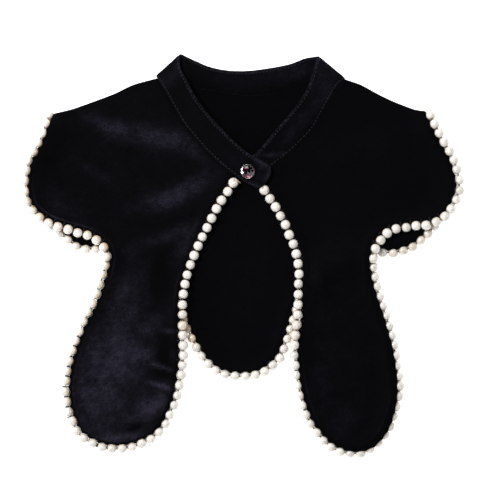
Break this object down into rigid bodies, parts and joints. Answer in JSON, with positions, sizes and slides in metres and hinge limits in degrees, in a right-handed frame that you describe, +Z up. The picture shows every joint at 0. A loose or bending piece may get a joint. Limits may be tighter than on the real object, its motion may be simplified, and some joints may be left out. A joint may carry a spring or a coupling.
{
  "type": "velvet collar",
  "caption": "Black velvet shoulder collar laid flat: back panel with a rounded tongue, two lobed fronts, a lapped stand band with a round button, and pearls strung along the edges.",
  "frame": {"origin": "middle of the collar's box, on the surface that it lies on", "axes": "+Z up from that surface, +Y from the lobes towards the neck band, +X from the front lobe on the left of the view to the one on the right"},
  "size_m": [0.3886, 0.355, 0.0178],
  "materials": {
    "velvet": "black velvet pile with a soft sheen",
    "pearl": "ivory pearl lacquer, glossy",
    "silver": "bright silver plate",
    "crystal": "clear cut stone with a faint rose tint"
  },
  "bodies": {
    "root": {"back_panel": "velvet", "front_panel_left": "velvet", "front_panel_right": "velvet", "neck_band": "velvet", "button_setting": "silver", "button_crystal": "crystal", "pearls_front_left": "pearl", "pearls_front_right": "pearl", "pearls_back": "pearl"}
  },
  "joints": []
}
